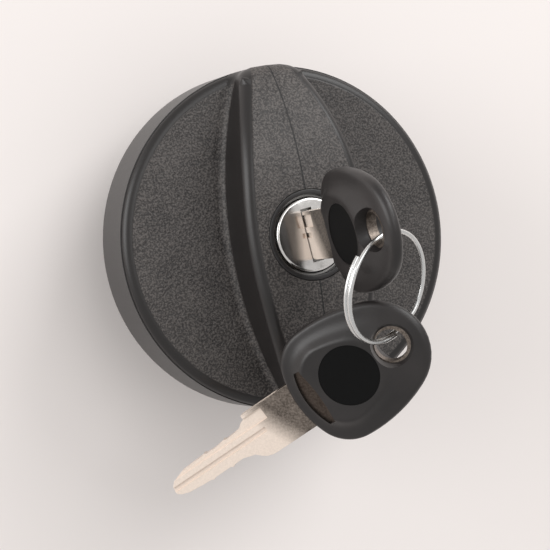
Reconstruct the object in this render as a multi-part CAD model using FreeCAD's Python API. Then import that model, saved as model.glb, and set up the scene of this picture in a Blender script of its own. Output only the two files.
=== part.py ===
import FreeCAD, Part
import math
import os
from FreeCAD import Placement, Rotation, Vector

# A lockable filler cap. The origin is the centre of the neck's end face, +Z is the cap's
# axis, the grip bar lies along Y, and all lengths are millimetres and angles degrees.

# Cap shell: skirt, top face and grip bar are one moulding
rim_radius = 40.0
skirt_flare = 0.4
skirt_height = 15.0
skirt_wall = 2.7
skirt_edge_round = 0.6
rim_ledge = 0.25
shoulder_width = 2.4
shoulder_rise = 1.6
web_thickness = 3.0

grip_height = 16.0
grip_half_width = 14.8
grip_end_half_width = 6.45
grip_end_height = 5.6
grip_flat_half_length = 9.5
grip_wall = 2.8
grip_edge_round = 2.6
grip_corner_round = 2.4
grip_foot_round = 1.2
parting_width = 0.3
parting_depth = 0.3
rib_thickness = 1.6

# Bayonet neck
neck_below_skirt = 20.0
filler_gap = 11.3
neck_wall = 2.5
neck_step_wall = 4.5
flange_gap = 3.3
flange_thickness = 3.0
lug_reach = 3.4
lug_height = 4.0
lug_bottom = 3.0
lug_half_angle = 19.0
lug_lead = 1.2
seal_gap = 1.1
seal_thickness = 2.4
seal_edge_bevel = 0.8

screw_count = 4
screw_first_angle = 45.0
screw_radius = 1.2
screw_head_radius = 2.4
screw_head_height = 1.2
screw_grip_depth = 1.8
screw_slot_width = 0.6

base_thickness = 2.5
base_wall_thickness = 2.0
valve_radius = 4.6
valve_dome = 1.1
valve_stem_radius = 1.4
valve_foot_radius = 2.0
vent_radius = 0.6
vent_circle_radius = 2.9
vent_count = 6

# Lock barrel
lock_recess = 0.3
face_gap = 0.55
face_thickness = 0.7
face_chamfer = 0.35
bezel_radius = 10.25
bezel_width = 1.15
bezel_chamfer = 0.3
bezel_height = 2.0
boss_wall = 2.2
housing_wall = 3.75
plug_head_margin = 0.15
plug_head_height = 1.9
blade_end_room = 3.9
housing_below_clip = 1.5
clip_thickness = 1.2
clip_reach = 1.75
clip_opening = 6.0
clip_groove_depth = 0.75
keyway_clearance = 0.25
wafer_count = 6
wafer_thickness = 1.0
wafer_end_gap = 0.5
wafer_half_width = 2.3
wafer_end_room = 3.8
wafer_first_above_end = 4.8
wafer_groove_depth = 1.2

# Cam and latch bolts
cam_radius = 11.5
cam_thickness = 3.1
cam_square = 4.4
cam_quarter_turn = 90.0
cam_slot_overrun = 4.0
pin_radius = 1.25
pin_radius_locked = 9.0
bolt_travel = 4.0
bolt_width = 6.0
bolt_height = 4.0
bolt_inner_margin = 0.4
bolt_reach = 3.6
bolt_nose_chamfer = 1.2
cam_screw_radius = 1.4
cam_screw_head_radius = 2.8
cam_screw_head_height = 1.9
cam_screw_depth = 2.2
guide_floor = 3.9

# Clearances
fit_gap = 0.1
running_gap = 0.05
pin_gap = 0.15

# Key: u runs from the blade's tip towards the ring hole, v across, w through it
key_angle = 5.5
blade_length = 23.0
blade_half_width = 3.8
blade_thickness = 2.2
tip_length = 3.2
tip_half_width = 1.5
shank_length = 11.8
shank_half_width = 5.7
shank_in_face = 0.5
wide_groove = 2.8
wide_groove_offset = 3.3
narrow_groove = 1.1
narrow_groove_offset = 0.2
groove_depth = 0.5
groove_end = 7.0
cut_first = 4.6
cut_last = 6.0
cut_flat = 1.6
left_cut_depths = (0.2, 0.5, 0.1, 0.5, 0.3)
right_cut_depths = (1.8, 1.5, 1.1, 1.7, 0.7)
tang_start = 1.5
tang_half_width = 7.5
tang_wide_length = 9.0
tang_eye_radius = 5.4
head_blade_corner_u = 10.0
head_blade_corner_v = 4.6
head_blade_corner_radius = 8.8
head_end_u = 21.3
head_end_radius = 11.4
head_blade_side_radius = 22.0
head_side_radius = 34.0
head_edge_thickness = 3.0
head_edge_round = 1.3
head_thickness = 7.4
crown_corner_u = 11.2
crown_corner_v = 2.4
crown_corner_radius = 6.0
crown_end_u = 15.0
crown_end_radius = 7.2
crown_blade_side_radius = 14.0
crown_side_radius = 24.0
crown_curve_ratio = 1.9
badge_u = 14.6
badge_radius = 6.5
badge_recess = 0.4
badge_sink = 0.1
badge_gap = 0.05
ring_hole_u = 25.0
ring_hole_radius = 3.6
ring_hole_flare_ratio = 0.72
ring_hole_land = 0.6
eyelet_radius = 3.45
window_u = 4.7
window_length = 14.2
window_blade_bulge = 1.0
window_far_bulge = 1.5

# Split ring and the spare key's pose
ring_outer_radius = 12.25
ring_wire = 1.0
ring_coil_overlap = 0.06
ring_lap_start = 150.0
ring_lap_angle = 175.0
ring_heading = -82.4
ring_dip = 22.8
ring_roll = -24.0
ring_seat_in_first = 1.7
ring_seat_in_second = 1.8
spare_heading = 31.7
spare_rise = 34.1
spare_roll = -9.7

# Sizes across the axis that follow from the sizes above
skirt_bore_radius = rim_radius - skirt_wall
flange_radius = skirt_bore_radius - flange_gap
seal_radius = skirt_bore_radius - seal_gap
neck_radius = skirt_bore_radius - filler_gap
neck_bore_radius = neck_radius - neck_wall
neck_step_radius = neck_radius - neck_step_wall
screw_circle_radius = (neck_radius + flange_radius) / 2
valve_offset = neck_bore_radius / 2
pin_radius_unlocked = pin_radius_locked - bolt_travel

bezel_bore_radius = bezel_radius - bezel_width
face_radius = bezel_bore_radius - face_gap
plug_head_radius = face_radius - plug_head_margin
plug_radius = bezel_radius - housing_wall
clip_radius = bezel_radius + clip_reach

# Lengths of the lock that follow the key's blade
housing_length = blade_length + shank_in_face + lock_recess - bezel_height + blade_end_room
wafer_pitch = (blade_length - wafer_end_room) / wafer_count
cut_pitch = (blade_length - cut_first - cut_last) / (len(left_cut_depths) - 1)

# Heights along the axis that follow from the sizes above
z_skirt_bottom = neck_below_skirt
z_rim = z_skirt_bottom + skirt_height
z_top_face = z_rim + shoulder_rise
z_web = z_top_face - web_thickness
z_grip_top = z_rim + grip_height
z_flange = z_web - flange_thickness
z_face_top = z_grip_top - lock_recess
z_plug_top = z_face_top - face_thickness
z_plug_head = z_plug_top - plug_head_height
z_housing_top = z_grip_top - bezel_height
z_housing_end = z_housing_top - housing_length
z_plug_end = z_housing_end - fit_gap
z_cam_bottom = z_plug_end - cam_thickness
z_bolt_top = z_cam_bottom - 2 * fit_gap
z_bolt_bottom = z_bolt_top - bolt_height
z_guide_top = z_bolt_top - fit_gap
z_guide_bottom = z_bolt_bottom - fit_gap - guide_floor
z_boss_end = z_housing_end + housing_below_clip + clip_thickness
z_key_zero = z_face_top - shank_in_face + shank_length


def cylinder(radius, z0, z1, x=0.0, y=0.0):
    return Part.makeCylinder(radius, z1 - z0, Vector(x, y, z0))


def tube(outer, inner, z0, z1):
    return cylinder(outer, z0, z1).cut(cylinder(inner, z0, z1))


def block(x0, x1, y0, y1, z0, z1):
    return Part.makeBox(x1 - x0, y1 - y0, z1 - z0, Vector(x0, y0, z0))


def turned(shape, angle):
    copy = shape.copy()
    copy.rotate(Vector(0, 0, 0), Vector(0, 0, 1), angle)
    return copy


def line(a, b):
    return Part.LineSegment(a, b).toShape()


def arc(a, middle, b):
    return Part.Arc(a, middle, b).toShape()


def face_of(edges):
    return Part.Face(Part.Wire(edges))


def revolved(edges):
    return face_of(edges).revolve(Vector(0, 0, 0), Vector(0, 0, 1), 360)


def edges_where(shape, test):
    return [edge for edge in shape.Edges if test(edge)]


# Cap shell

def arc_radius(half_chord, height):
    """The radius of an arc from its half chord and its height."""
    return (half_chord ** 2 + height ** 2) / (2 * height)


def grip_lens(inset, z0, z1):
    """The grip's plan: two shallow arcs that would meet beyond the rim."""
    radius = arc_radius(rim_radius, grip_half_width - grip_end_half_width) - inset
    half_width = grip_half_width - inset
    reach = math.sqrt(radius ** 2 - (radius - half_width) ** 2)
    low = Vector(0, -reach, z0)
    high = Vector(0, reach, z0)
    right = arc(low, Vector(half_width, 0, z0), high)
    left = arc(high, Vector(-half_width, 0, z0), low)
    return face_of([right, left]).extrude(Vector(0, 0, z1 - z0))


def grip_arch(inset, z_base):
    """The grip's side view: flat over the lock, then an arc down to each end."""
    radius = arc_radius(rim_radius - grip_flat_half_length, grip_height - grip_end_height) - inset
    z_flat = z_grip_top - inset
    span = 2 * rim_radius
    reach = min(rim_radius + grip_edge_round - grip_flat_half_length, 0.95 * radius)
    z_end = z_flat - radius + math.sqrt(radius ** 2 - reach ** 2)
    z_mid = z_flat - radius + math.sqrt(radius ** 2 - (reach / 2) ** 2)
    flat = grip_flat_half_length
    far = flat + reach
    x = -span / 2
    edges = [
        line(Vector(x, -far, z_base), Vector(x, -far, z_end)),
        arc(Vector(x, -far, z_end), Vector(x, -flat - reach / 2, z_mid), Vector(x, -flat, z_flat)),
        line(Vector(x, -flat, z_flat), Vector(x, flat, z_flat)),
        arc(Vector(x, flat, z_flat), Vector(x, flat + reach / 2, z_mid), Vector(x, far, z_end)),
        line(Vector(x, far, z_end), Vector(x, far, z_base)),
        line(Vector(x, far, z_base), Vector(x, -far, z_base)),
    ]
    return face_of(edges).extrude(Vector(span, 0, 0))


def grip_solid():
    z_base = z_top_face - 1.0
    grip = grip_lens(0.0, z_base, z_grip_top + 1.0).common(grip_arch(0.0, z_base))
    grip = grip.common(cylinder(rim_radius, z_base, z_grip_top + 1.0))

    def upright(edge):
        box = edge.BoundBox
        return box.ZMin < z_base + 0.01 and box.ZLength > 1.0

    grip = grip.makeFillet(grip_corner_round, edges_where(grip, upright))

    def along_top(edge):
        box = edge.BoundBox
        middle = edge.valueAt((edge.FirstParameter + edge.LastParameter) / 2)
        on_seam = abs(abs(middle.y) - grip_flat_half_length) < 0.01 and box.YLength < 0.01
        return box.ZMin > z_base + 0.5 and not on_seam

    return grip.makeFillet(grip_edge_round, edges_where(grip, along_top))


def shell_revolve():
    bottom_radius = rim_radius + skirt_flare
    top_radius = rim_radius - shoulder_width
    step_radius = rim_radius - rim_ledge
    lean = 0.707
    shoulder_x = top_radius + (step_radius - top_radius) * lean
    shoulder_mid = Vector(shoulder_x, 0, z_rim + shoulder_rise * lean)
    corner = Vector(bottom_radius - skirt_edge_round, 0, z_skirt_bottom)
    short = 0.3 * skirt_edge_round
    corner_mid = Vector(bottom_radius - short, 0, z_skirt_bottom + short)
    corner_end = Vector(bottom_radius, 0, z_skirt_bottom + skirt_edge_round)
    edges = [
        line(Vector(0, 0, z_skirt_bottom), corner),
        arc(corner, corner_mid, corner_end),
        line(corner_end, Vector(rim_radius, 0, z_rim)),
        line(Vector(rim_radius, 0, z_rim), Vector(step_radius, 0, z_rim)),
        arc(Vector(step_radius, 0, z_rim), shoulder_mid, Vector(top_radius, 0, z_top_face)),
        line(Vector(top_radius, 0, z_top_face), Vector(0, 0, z_top_face)),
        line(Vector(0, 0, z_top_face), Vector(0, 0, z_skirt_bottom)),
    ]
    return revolved(edges)


def cap_shell():
    outside = shell_revolve().fuse(grip_solid()).removeSplitter()
    hollow = cylinder(skirt_bore_radius, z_skirt_bottom - 1.0, z_web)
    cavity = grip_lens(grip_wall, z_web - 1.0, z_grip_top).common(grip_arch(grip_wall, z_web - 1.0))
    cavity = cavity.common(cylinder(skirt_bore_radius, z_web - 1.0, z_grip_top))
    boss_radius = bezel_radius + fit_gap + boss_wall
    boss = cylinder(boss_radius, z_boss_end, z_grip_top - grip_wall)
    half_rib = rib_thickness / 2
    ribs = block(-half_rib, half_rib, -skirt_bore_radius, skirt_bore_radius, z_web, z_grip_top)
    cavity = cavity.cut(boss).cut(ribs)
    shell = outside.cut(hollow).cut(cavity).fuse(cylinder(boss_radius, z_boss_end, z_web))
    shell = shell.cut(cylinder(bezel_radius + fit_gap, z_boss_end - 1.0, z_grip_top + 1.0))
    groove = block(-parting_width / 2, parting_width / 2, -rim_radius - 1.0, rim_radius + 1.0,
                   z_top_face, z_grip_top + 1.0)
    shell = shell.cut(groove.cut(grip_arch(parting_depth, z_top_face - 1.0)))
    for x, y in screw_places():
        shell = shell.cut(cylinder(screw_radius, z_web - 1.0, z_web + screw_grip_depth + 0.2, x, y))
    return shell.removeSplitter()


# Neck, seal, screws and base

def screw_places():
    step = 360.0 / screw_count
    angles = [math.radians(screw_first_angle + step * i) for i in range(screw_count)]
    return [(screw_circle_radius * math.cos(a), screw_circle_radius * math.sin(a)) for a in angles]


def lug():
    """One bayonet lug: a rib around part of the neck with a sloped lead-in at one end."""
    outer = neck_radius + lug_reach
    z1 = lug_bottom + lug_height
    ring = tube(outer, neck_radius - 0.5 * neck_wall, lug_bottom, z1)
    half = math.radians(lug_half_angle)
    far = outer * 1.5
    corners = [Vector(0, 0, lug_bottom), Vector(-far * math.sin(half), far * math.cos(half), lug_bottom),
               Vector(far * math.sin(half), far * math.cos(half), lug_bottom)]
    wedge = Part.Face(Part.makePolygon(corners + corners[:1])).extrude(Vector(0, 0, lug_height))
    body = ring.common(wedge)
    end = outer * math.sin(half)
    ramp = [Vector(end - 3 * lug_lead, 0, z1), Vector(end + 1.0, 0, z1),
            Vector(end + 1.0, 0, z1 - lug_lead - 0.4)]
    return body.cut(Part.Face(Part.makePolygon(ramp + ramp[:1])).extrude(Vector(0, far, 0)))


def bayonet_neck():
    lower = tube(neck_radius, neck_bore_radius, 0.0, z_guide_top + fit_gap)
    upper = tube(neck_radius, neck_step_radius, z_guide_top + fit_gap, z_web)
    flange = tube(flange_radius, neck_step_radius, z_flange, z_web)
    neck = lower.fuse([upper, flange, lug(), turned(lug(), 180)])
    gap = bolt_width / 2 + fit_gap
    reach = neck_radius + 1.0
    window = block(-reach, reach, -gap, gap, z_bolt_bottom - fit_gap, z_bolt_top + fit_gap)
    neck = neck.cut(window)
    for x, y in screw_places():
        hole = cylinder(screw_radius, z_flange, z_web, x, y)
        sink = Part.makeCone(screw_head_radius, screw_radius, screw_head_height, Vector(x, y, z_flange))
        neck = neck.cut(hole.fuse(sink))
    return neck.removeSplitter()


def neck_seal():
    inner = neck_radius + fit_gap
    z0 = z_flange - seal_thickness
    ring = tube(seal_radius, inner, z0, z_flange)
    return ring.makeChamfer(seal_edge_bevel, edges_where(ring, lambda e: e.BoundBox.ZMax < z0 + 0.01))


def neck_screws():
    screws = []
    slot = block(-screw_head_radius, screw_head_radius, -screw_slot_width / 2, screw_slot_width / 2,
                 z_flange, z_flange + 0.5)
    for x, y in screw_places():
        head = Part.makeCone(screw_head_radius, screw_radius, screw_head_height, Vector(x, y, z_flange))
        shank = cylinder(screw_radius, z_flange + screw_head_height, z_web + screw_grip_depth, x, y)
        cut = slot.copy()
        cut.translate(Vector(x, y, 0))
        screws.append(head.fuse(shank).cut(cut).removeSplitter())
    return Part.makeCompound(screws)


def base_cover():
    disc = cylinder(neck_bore_radius - fit_gap, 0.0, base_thickness)
    wall_outer = neck_bore_radius - fit_gap
    wall = tube(wall_outer, wall_outer - base_wall_thickness, base_thickness, z_guide_bottom)
    cover = disc.fuse(wall)
    cover = cover.cut(cylinder(valve_stem_radius, -1.0, base_thickness + 1, 0, valve_offset))
    cover = cover.cut(cylinder(valve_foot_radius, -1.0, 0.9, 0, valve_offset))
    for i in range(vent_count):
        a = 2 * math.pi * i / vent_count
        x = vent_circle_radius * math.cos(a)
        y = valve_offset + vent_circle_radius * math.sin(a)
        cover = cover.cut(cylinder(vent_radius, -1.0, base_thickness + 1, x, y))
    return cover.removeSplitter()


def vent_umbrella():
    """A rubber umbrella valve: its skirt lies over the vents, its stem snaps through the base."""
    top = base_thickness + valve_dome
    edges = [
        line(Vector(0, 0, 0.3), Vector(valve_foot_radius - 0.1, 0, 0.3)),
        line(Vector(valve_foot_radius - 0.1, 0, 0.3), Vector(valve_stem_radius, 0, 0.9)),
        line(Vector(valve_stem_radius, 0, 0.9), Vector(valve_stem_radius, 0, base_thickness)),
        line(Vector(valve_stem_radius, 0, base_thickness), Vector(valve_radius, 0, base_thickness)),
        line(Vector(valve_radius, 0, base_thickness), Vector(valve_radius, 0, base_thickness + 0.3)),
        line(Vector(valve_radius, 0, base_thickness + 0.3), Vector(0, 0, top)),
        line(Vector(0, 0, top), Vector(0, 0, 0.3)),
    ]
    valve = revolved(edges)
    valve.translate(Vector(0, valve_offset, 0))
    return valve


# Lock barrel

def along_key(half_v, half_w, z0, z1):
    """A block centred on the axis whose long side follows the keyway."""
    return turned(block(-half_w, half_w, -half_v, half_v, z0, z1), key_angle)


def lock_bezel():
    ring = tube(bezel_radius, bezel_bore_radius, z_housing_top, z_grip_top)
    return ring.makeChamfer(bezel_chamfer, edges_where(ring, lambda e: e.BoundBox.ZMin > z_grip_top - 0.01
                                             and e.BoundBox.XLength < 2 * bezel_bore_radius + 0.1))


def lock_face():
    disc = cylinder(face_radius, z_plug_top, z_face_top)
    disc = disc.makeChamfer(face_chamfer, edges_where(disc, lambda e: e.BoundBox.ZMin > z_face_top - 0.01))
    slot_v = shank_half_width + 1.6 * keyway_clearance
    slot_w = blade_thickness / 2 + keyway_clearance
    return disc.cut(along_key(slot_v, slot_w, z_plug_top - 1, z_face_top + 1))


def lock_plug():
    barrel = cylinder(plug_radius, z_plug_end, z_plug_head)
    head = cylinder(plug_head_radius, z_plug_head, z_plug_top)
    half = cam_square / 2
    tail = block(-half, half, -half, half, z_cam_bottom + fit_gap, z_plug_end)
    plug = barrel.fuse([head, tail])
    z_tip = z_key_zero - shank_length - blade_length
    narrow = along_key(blade_half_width + keyway_clearance, blade_thickness / 2 + 0.6 * keyway_clearance,
                       z_tip - 1.0, z_plug_top + 1)
    wide = along_key(shank_half_width + 1.6 * keyway_clearance, blade_thickness / 2 + keyway_clearance,
                     z_face_top - shank_in_face - 0.9, z_plug_top + 1)
    plug = plug.cut(narrow).cut(wide)
    play = running_gap
    for z in wafer_heights():
        z1 = z + wafer_thickness + play
        plug = plug.cut(along_key(plug_radius + 1, wafer_half_width + play, z - play, z1))
    plug = plug.cut(cylinder(cam_screw_radius, z_cam_bottom, z_plug_end + cam_screw_depth))
    return plug.removeSplitter()


def wafer_heights():
    first = z_housing_end + wafer_first_above_end
    return [first + wafer_pitch * i for i in range(wafer_count)]


def lock_wafers():
    wafers = []
    for z in wafer_heights():
        plate = along_key(plug_radius - wafer_end_gap, wafer_half_width, z, z + wafer_thickness)
        rounding = cylinder(plug_radius - running_gap, z, z + wafer_thickness)
        window = along_key(blade_half_width + 1.4 * keyway_clearance, blade_thickness / 2 + keyway_clearance,
                           z, z + wafer_thickness)
        wafers.append(plate.common(rounding).cut(window))
    return Part.makeCompound(wafers)


def lock_housing():
    body = cylinder(bezel_radius, z_housing_end, z_housing_top)
    body = body.cut(cylinder(plug_radius + running_gap, z_housing_end, z_housing_top))
    body = body.cut(cylinder(plug_head_radius + 0.3, z_plug_head - fit_gap, z_housing_top))
    z0 = wafer_heights()[0] - 1.0
    z1 = wafer_heights()[-1] + wafer_thickness + 1.0
    body = body.cut(along_key(plug_radius + wafer_groove_depth, wafer_half_width + 0.3, z0, z1))
    groove_bottom = z_boss_end - clip_thickness
    groove = tube(bezel_radius + 1, bezel_radius - clip_groove_depth, groove_bottom, z_boss_end)
    return body.cut(groove).removeSplitter()


def housing_clip():
    """A spring ring in the housing's groove, open at one side, that bears on the boss."""
    ring = tube(clip_radius, bezel_radius - clip_groove_depth, z_boss_end - clip_thickness, z_boss_end)
    half = clip_opening / 2
    return ring.cut(block(0, 2 * clip_radius, -half, half, z_boss_end - 2 * clip_thickness, z_boss_end + 1))


def spiral_point(angle, outward, onward=0.0):
    """A point beside the cam slot's centre line, where the pin's distance falls evenly with the angle."""
    fall = -bolt_travel / math.radians(cam_quarter_turn)
    radius = pin_radius_locked + fall * math.radians(angle)
    c = math.cos(-math.radians(angle))
    s = math.sin(-math.radians(angle))
    tangent = Vector(fall * c + radius * s, fall * s - radius * c, 0).normalize()
    normal = Vector(-tangent.y, tangent.x, 0)
    return Vector(radius * c, radius * s, z_cam_bottom) + normal * outward + tangent * onward


def cam_slot():
    half = pin_radius + pin_gap
    start = -cam_slot_overrun
    end = cam_quarter_turn + cam_slot_overrun
    steps = 8
    angles = [start + (end - start) * i / steps for i in range(steps + 1)]
    outer = Part.BSplineCurve()
    outer.interpolate([spiral_point(a, half) for a in angles])
    inner = Part.BSplineCurve()
    inner.interpolate([spiral_point(a, -half) for a in angles])

    def end_cap(angle, sign):
        tip = spiral_point(angle, 0, sign * half)
        return arc(spiral_point(angle, half), tip, spiral_point(angle, -half))

    wire = [outer.toShape(), end_cap(end, 1), inner.toShape(), end_cap(start, -1)]
    return Part.Face(Part.Wire(Part.__sortEdges__(wire))).extrude(Vector(0, 0, cam_thickness))


def lock_cam():
    disc = cylinder(cam_radius, z_cam_bottom, z_plug_end)
    half = cam_square / 2
    disc = disc.cut(block(-half, half, -half, half, z_cam_bottom, z_plug_end))
    slot = cam_slot()
    return disc.cut(slot).cut(turned(slot, 180))


def cam_screw():
    top = z_cam_bottom
    head = cylinder(cam_screw_head_radius, top - cam_screw_head_height, top)
    shank = cylinder(cam_screw_radius, top, z_plug_end + cam_screw_depth)
    arm = 0.7 * cam_screw_head_radius
    z0 = top - cam_screw_head_height
    cross = block(-arm, arm, -0.35, 0.35, z0, z0 + 0.8).fuse(block(-0.35, 0.35, -arm, arm, z0, z0 + 0.8))
    return head.fuse(shank).cut(cross).removeSplitter()


def latch_bolt():
    """The bolt on the +X side: a bar with a pin that rides in the cam's slot."""
    inner = pin_radius_locked - pin_radius - bolt_inner_margin
    outer = neck_radius + bolt_reach
    half = bolt_width / 2
    bar = block(inner, outer, -half, half, z_bolt_bottom, z_bolt_top)
    nose = edges_where(bar, lambda e: e.BoundBox.XMin > outer - 0.01 and e.BoundBox.YLength > 1
                       and e.BoundBox.ZMax < z_bolt_bottom + 0.01)
    bar = bar.makeChamfer(bolt_nose_chamfer, nose)
    pin = cylinder(pin_radius, z_bolt_top, z_plug_end - 4 * fit_gap, pin_radius_locked, 0)
    return bar.fuse(pin)


def guide_plate():
    plate = cylinder(neck_bore_radius - fit_gap, z_guide_bottom, z_guide_top)
    gap = bolt_width / 2 + fit_gap
    channel = block(-neck_radius, neck_radius, -gap, gap, z_bolt_bottom - fit_gap, z_guide_top + 1)
    plate = plate.cut(channel)
    pocket = neck_bore_radius / 2
    for x, y in ((0, pocket), (0, -pocket)):
        plate = plate.cut(cylinder(0.6 * pocket, z_guide_bottom, z_guide_bottom + guide_floor, x, y))
    return plate


# Key

def egg_edges(sizes, w):
    """A closed outline of three corner arcs joined by three long arcs tangent to them."""
    corner_u, corner_v, corner_radius, end_u, end_radius, blade_radius, side_radius = sizes
    near = (corner_u, -corner_v)
    far = (end_u, 0.0)
    other = (corner_u, corner_v)
    sides = ((near, corner_radius, far, end_radius, side_radius),
             (far, end_radius, other, corner_radius, side_radius),
             (other, corner_radius, near, corner_radius, blade_radius))
    touches = []
    for a, radius_a, b, radius_b, big in sides:
        reach_a = big - radius_a
        reach_b = big - radius_b
        span = math.hypot(b[0] - a[0], b[1] - a[1])
        e = ((b[0] - a[0]) / span, (b[1] - a[1]) / span)
        along = (reach_a ** 2 - reach_b ** 2 + span ** 2) / (2 * span)
        across = math.sqrt(max(reach_a ** 2 - along ** 2, 0.0))
        cu = a[0] + along * e[0] - across * e[1]
        cv = a[1] + along * e[1] + across * e[0]
        ends = []
        for point in (a, b):
            d = math.hypot(point[0] - cu, point[1] - cv)
            ends.append((cu + big * (point[0] - cu) / d, cv + big * (point[1] - cv) / d))
        chord = ((ends[0][0] + ends[1][0]) / 2 - cu, (ends[0][1] + ends[1][1]) / 2 - cv)
        d = math.hypot(*chord)
        middle = (cu + big * chord[0] / d, cv + big * chord[1] / d)
        touches.append((ends[0], middle, ends[1]))
    corners = ((far, end_radius), (other, corner_radius), (near, corner_radius))
    edges = []
    for i in range(3):
        start, middle, stop = touches[i]
        edges.append(arc(Vector(*start, w), Vector(*middle, w), Vector(*stop, w)))
        centre, radius = corners[i]
        next_start = touches[(i + 1) % 3][0]
        lean = ((stop[0] + next_start[0]) / 2 - centre[0], (stop[1] + next_start[1]) / 2 - centre[1])
        d = math.hypot(*lean)
        bulge = (centre[0] + radius * lean[0] / d, centre[1] + radius * lean[1] / d)
        edges.append(arc(Vector(*stop, w), Vector(*bulge, w), Vector(*next_start, w)))
    return edges


def head_sizes(share):
    """Outline sizes from the outer edge, share 0, to the raised crown, share 1."""
    outer = (head_blade_corner_u, head_blade_corner_v, head_blade_corner_radius, head_end_u,
             head_end_radius, head_blade_side_radius, head_side_radius)
    crown = (crown_corner_u, crown_corner_v, crown_corner_radius, crown_end_u,
             crown_end_radius, crown_blade_side_radius, crown_side_radius)
    return [a + (b - a) * share for a, b in zip(outer, crown)]


def window_cutter():
    half = window_length / 2
    top = head_thickness
    low = Vector(window_u, -half, -top)
    high = Vector(window_u, half, -top)
    blade_side = arc(low, Vector(window_u - window_blade_bulge, 0, -top), high)
    far_side = arc(high, Vector(window_u + window_far_bulge, 0, -top), low)
    return face_of([blade_side, far_side]).extrude(Vector(0, 0, 2 * top))


def key_blade():
    half_t = blade_thickness / 2
    u_shoulder = -shank_length
    u_tip = u_shoulder - blade_length
    outline = [(u_tip, -tip_half_width), (u_tip + tip_length, -blade_half_width)]
    outline += cut_points(u_tip, right_cut_depths, -1)
    outline += [(u_shoulder, -blade_half_width), (u_shoulder, -shank_half_width),
                (tang_start, -shank_half_width), (tang_start, -tang_half_width),
                (tang_wide_length, -tang_half_width),
                (ring_hole_u - tang_eye_radius, -tang_eye_radius), (ring_hole_u, -tang_eye_radius)]
    points = outline + [(u, -v) for u, v in reversed(outline)]
    # The left edge has its own cuts, so it is rebuilt from its own depths
    left = [(u_tip, tip_half_width), (u_tip + tip_length, blade_half_width)]
    left += cut_points(u_tip, left_cut_depths, 1) + [(u_shoulder, blade_half_width)]
    right_count = len(outline)
    tail = points[right_count:]
    keep = [p for p in tail if p[0] > u_shoulder - 0.01 and p != (u_shoulder, blade_half_width)]
    points = outline + keep + list(reversed(left))
    corners = [Vector(u, v, -half_t) for u, v in points]
    plate = Part.Face(Part.makePolygon(corners + corners[:1])).extrude(Vector(0, 0, blade_thickness))
    eye = Part.makeCylinder(tang_eye_radius, blade_thickness, Vector(ring_hole_u, 0, -half_t))
    plate = plate.fuse(eye)
    plate = plate.cut(Part.makeCylinder(eyelet_radius, 3 * half_t, Vector(ring_hole_u, 0, -1.5 * half_t)))
    length = blade_length + shank_length - groove_end + 1.0
    for side in (-1, 1):
        z0 = half_t - groove_depth if side > 0 else -half_t
        for offset, width in ((wide_groove_offset, wide_groove), (narrow_groove_offset, narrow_groove)):
            corner = Vector(u_tip - 1.0, side * offset - width / 2, z0)
            plate = plate.cut(Part.makeBox(length, width, groove_depth, corner))
    return plate.removeSplitter()


def cut_points(u_tip, depths, side):
    """The flats cut into one edge of the blade, joined by slopes, from the tip to the shoulder."""
    points = []
    for i, depth in enumerate(depths):
        u = u_tip + cut_first + cut_pitch * i
        v = side * (blade_half_width - depth)
        points += [(u - cut_flat / 2, v), (u + cut_flat / 2, v)]
    return points


def ring_hole_mouth(side):
    """The hole's mouth widens towards the head's end and stays upright beside the badge."""
    rings = []
    for height in (0.0, head_thickness / 2):
        grow = ring_hole_flare_ratio * height
        centre = Vector(ring_hole_u + grow, 0, side * (ring_hole_land + height))
        circle = Part.Circle(centre, Vector(0, 0, 1), ring_hole_radius + grow)
        rings.append(Part.Wire(circle.toShape()))
    return Part.makeLoft(rings, True, True)


def key_head(blade):
    half = head_thickness / 2
    half_edge = head_edge_thickness / 2
    rim = face_of(egg_edges(head_sizes(0.0), -half_edge)).extrude(Vector(0, 0, head_edge_thickness))
    rim = rim.makeFillet(head_edge_round, edges_where(rim, lambda e: e.BoundBox.ZLength < 0.01))
    shares = (0.12, 0.35, 0.55, 0.72, 0.86, 0.95, 1.0)
    wires = []
    for share in shares:
        w = half_edge + (half - half_edge) * share ** crown_curve_ratio
        if share == shares[0]:
            w = 0.0
        wires.append(Part.Wire(egg_edges(head_sizes(share), w)))
    crown = Part.makeLoft(wires, True, True)
    under = crown.mirror(Vector(0, 0, 0), Vector(0, 0, 1))
    head = rim.fuse([crown, under])
    for side in (-1, 1):
        z0 = half - badge_recess if side > 0 else -half - 1.0
        foot = Vector(badge_u, 0, z0)
        head = head.cut(Part.makeCylinder(badge_radius + badge_gap, badge_recess + 1.0, foot))
    head = head.cut(Part.makeCylinder(ring_hole_radius, 4 * half, Vector(ring_hole_u, 0, -2 * half)))
    for side in (-1, 1):
        head = head.cut(ring_hole_mouth(side))
    return head.cut(window_cutter()).cut(blade).removeSplitter()


def key_inlays():
    half = head_thickness / 2
    thickness = badge_recess - badge_sink
    discs = []
    for side in (-1, 1):
        z0 = half - badge_recess if side > 0 else -half + badge_sink
        discs.append(Part.makeCylinder(badge_radius, thickness, Vector(badge_u, 0, z0)))
    return Part.makeCompound(discs)


def placed(shape, placement):
    copy = shape.copy()
    copy.Placement = placement.multiply(copy.Placement)
    return copy


def key_one_placement():
    a = math.radians(key_angle)
    along = Vector(0, 0, 1)
    across = Vector(-math.sin(a), math.cos(a), 0)
    return Placement(Vector(0, 0, z_key_zero), Rotation(along, across, along.cross(across), "XYZ"))


def ring_direction():
    heading = math.radians(ring_heading)
    dip = math.radians(ring_dip)
    return Vector(math.cos(dip) * math.cos(heading), math.cos(dip) * math.sin(heading), -math.sin(dip))


def ring_mean_radius():
    return ring_outer_radius - ring_wire / 2


def first_hole():
    return Vector(0, 0, z_key_zero + ring_hole_u)


def second_hole():
    reach = 2 * ring_mean_radius() + ring_seat_in_first + ring_seat_in_second
    return first_hole() + ring_direction() * reach


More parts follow.
